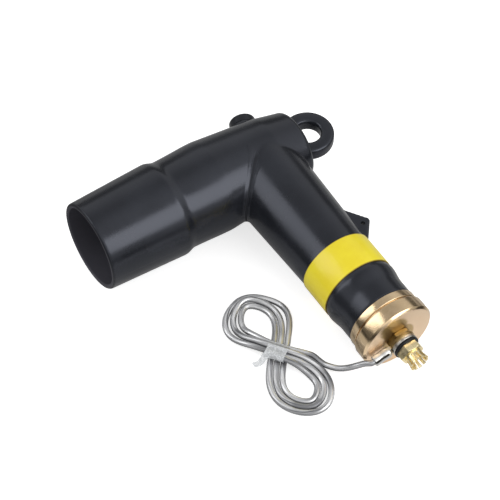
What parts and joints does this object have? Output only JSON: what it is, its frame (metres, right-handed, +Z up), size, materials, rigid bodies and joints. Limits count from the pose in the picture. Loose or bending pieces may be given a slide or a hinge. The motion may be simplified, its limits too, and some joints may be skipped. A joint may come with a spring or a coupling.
{
  "type": "elbow surge arrester",
  "caption": "Separable rubber elbow surge arrester with an open bushing cuff, a pulling eye, a drain tab, a test point cap, a brass end cap and an earth lead in a small hank.",
  "frame": {"origin": "on the surface that the elbow lies on, below the middle of its box without the earth lead", "axes": "-X along the bushing arm towards its mouth, -Y along the arrester arm towards the end cap (the arm dips by 2.5 degrees), +Z up from the surface"},
  "size_m": [0.2076, 0.2464, 0.072],
  "materials": {
    "jacket_rubber": "satin moulded",
    "insulation_rubber": "smooth moulded",
    "insert_rubber": "smooth moulded",
    "seal_rubber": "matte",
    "copper": "machined",
    "follower": "smooth",
    "disc_ceramic": "sintered",
    "glass_fibre": "wound",
    "electrode": "machined",
    "spring_steel": "satin",
    "brass": "polished",
    "plated_steel": "bright plated",
    "label": "gloss film",
    "lead": "clear jacket over tinned braid",
    "tie": "clear film"
  },
  "bodies": {
    "root": {"elbow_jacket": "jacket_rubber", "elbow_insulation": "insulation_rubber", "inner_insert": "insert_rubber", "contact_block": "copper", "probe": "copper", "arc_follower": "follower", "varistor_disc_1": "disc_ceramic", "varistor_disc_2": "disc_ceramic", "varistor_disc_3": "disc_ceramic", "varistor_disc_4": "disc_ceramic", "varistor_disc_5": "disc_ceramic", "column_tube": "glass_fibre", "lower_electrode": "electrode", "disc_spring_1": "spring_steel", "disc_spring_2": "spring_steel", "cap_gasket": "seal_rubber", "end_cap": "brass", "cap_nut": "brass", "ground_lug": "plated_steel", "lug_washer": "plated_steel", "stud_seal": "seal_rubber", "earth_stud": "brass", "label_band": "label", "eye_core": "spring_steel", "test_electrode": "electrode", "test_cap": "jacket_rubber", "earth_lead": "lead", "lead_hank": "lead", "hank_tie": "tie"}
  },
  "joints": []
}
